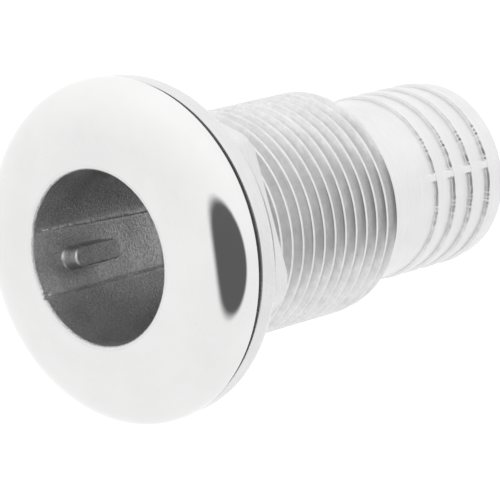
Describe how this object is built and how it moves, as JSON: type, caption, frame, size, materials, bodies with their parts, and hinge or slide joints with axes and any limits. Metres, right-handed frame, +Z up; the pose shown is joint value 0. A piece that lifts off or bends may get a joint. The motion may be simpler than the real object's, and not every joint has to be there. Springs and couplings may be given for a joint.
{
  "type": "thru hull fitting",
  "caption": "Domed through-hull fitting with a threaded barrel, barbed hose tail, flanged hex lock nut and sealing washer.",
  "frame": {"origin": "on the fitting's axis, in the plane of the flange's back face, where it seats on the outside of the hull", "axes": "+Y along the fitting's axis from the flange to the hose tail (inboard), +Z up, +X to the right when looking along +Y"},
  "size_m": [0.0486, 0.0737, 0.0486],
  "materials": {
    "polished_stainless": "mirror-polished dome, satin machined thread, as-cast waterway; the metal looks like stainless steel, its grade is not known",
    "satin_stainless": "satin machined stainless steel",
    "black_rubber": "plain black sheet rubber"
  },
  "bodies": {
    "fitting": {"body_casting": "polished_stainless"},
    "washer": {"sealing_washer": "black_rubber"},
    "nut": {"lock_nut": "satin_stainless"}
  },
  "joints": [
    {"name": "nut_travel", "type": "slide", "parent": "fitting", "child": "washer", "axis": [0, 1, 0], "range_m": [0, 0.0231]},
    {"name": "nut_turn", "type": "hinge", "parent": "washer", "child": "nut", "pos_m": [0, 0, 0], "axis": [0, 1, 0], "range_deg": [0, 3600]}
  ],
  "couplings": [
    {"joint": "nut_travel", "follows": "nut_turn", "m_per_rad": 0.00036749}
  ]
}
